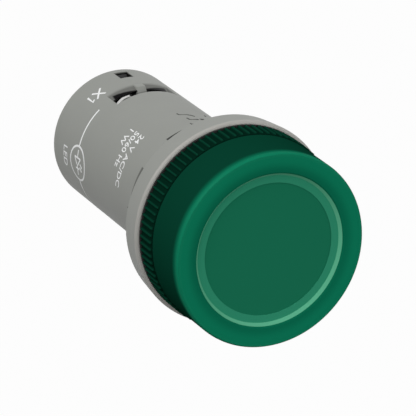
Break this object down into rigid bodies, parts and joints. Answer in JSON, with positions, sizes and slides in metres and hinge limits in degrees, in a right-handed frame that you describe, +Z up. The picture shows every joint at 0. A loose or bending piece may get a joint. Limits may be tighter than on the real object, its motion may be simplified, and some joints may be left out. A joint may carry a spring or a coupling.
{
  "type": "panel pilot light",
  "caption": "Round panel pilot light: green knurled lens cap on a grey bezel and barrel that fits a 22 mm panel hole, with screw terminals at the rear.",
  "frame": {"origin": "on the lamp's axis, in the face of the bezel that seats on the front of the panel", "axes": "+Y runs back along the barrel, away from the lens; +Z is up, towards terminal X1; +X is to the right seen from the front"},
  "size_m": [0.0314, 0.0552, 0.0314],
  "materials": {
    "housing_plastic": "fine moulded grain, light grey",
    "gasket_rubber": "soft black rubber",
    "seal_rubber": "soft black rubber",
    "lens_plastic": "translucent green, smooth front, knurled grip",
    "white_plastic": "smooth white",
    "milky_plastic": "milky translucent",
    "circuit_board": "green solder mask on glass laminate",
    "black_plastic": "moulded black",
    "led_package": "pale package with a clear cup",
    "capacitor_can": "sleeved aluminium can",
    "resistor_body": "blue coated body",
    "film_case": "yellow box",
    "absorber_coating": "blue dipped coating",
    "insulator_plastic": "dark insulating moulding",
    "tinned_brass": "tinned strip",
    "plated_steel": "bright nickel plating"
  },
  "bodies": {
    "housing": {"housing": "housing_plastic", "panel_gasket": "gasket_rubber", "reflector": "white_plastic", "diffuser": "milky_plastic", "led_board": "circuit_board", "led_1": "led_package", "led_2": "led_package", "led_3": "led_package", "led_4": "led_package", "main_board": "circuit_board", "board_link": "black_plastic", "smoothing_capacitor": "capacitor_can", "dropper_resistor_1": "resistor_body", "dropper_resistor_2": "resistor_body", "bridge_rectifier": "black_plastic", "film_capacitor": "film_case", "current_regulator": "black_plastic", "surge_absorber": "absorber_coating", "terminal_block": "insulator_plastic", "end_cap": "insulator_plastic", "contact_strip_x1": "tinned_brass", "contact_strip_x2": "tinned_brass"},
    "seal": {"lens_seal": "seal_rubber"},
    "lens": {"lens": "lens_plastic"},
    "washer_x1": {"clamp_washer_x1": "plated_steel"},
    "screw_x1": {"terminal_screw_x1": "plated_steel"},
    "washer_x2": {"clamp_washer_x2": "plated_steel"},
    "screw_x2": {"terminal_screw_x2": "plated_steel"}
  },
  "joints": [
    {"name": "lens_lift", "type": "slide", "parent": "housing", "child": "seal", "axis": [0, -1, 0], "range_m": [0, 0.003]},
    {"name": "lens_turn", "type": "hinge", "parent": "seal", "child": "lens", "pos_m": [0, 0, 0], "axis": [0, -1, 0], "range_deg": [0, 540]},
    {"name": "washer_x1_travel", "type": "slide", "parent": "housing", "child": "washer_x1", "axis": [0, -1, 0], "range_m": [0, 0.0054]},
    {"name": "screw_x1_turn", "type": "hinge", "parent": "washer_x1", "child": "screw_x1", "pos_m": [0, 0.033, 0.00545], "axis": [0, -1, 0], "range_deg": [0, 3240]},
    {"name": "washer_x2_travel", "type": "slide", "parent": "housing", "child": "washer_x2", "axis": [0, -1, 0], "range_m": [0, 0.0054]},
    {"name": "screw_x2_turn", "type": "hinge", "parent": "washer_x2", "child": "screw_x2", "pos_m": [0, 0.033, -0.00545], "axis": [0, -1, 0], "range_deg": [0, 3240]}
  ],
  "couplings": [
    {"joint": "lens_turn", "follows": "lens_lift", "rad_per_m": 3141.6},
    {"joint": "screw_x1_turn", "follows": "washer_x1_travel", "rad_per_m": 10472},
    {"joint": "screw_x2_turn", "follows": "washer_x2_travel", "rad_per_m": 10472}
  ]
}
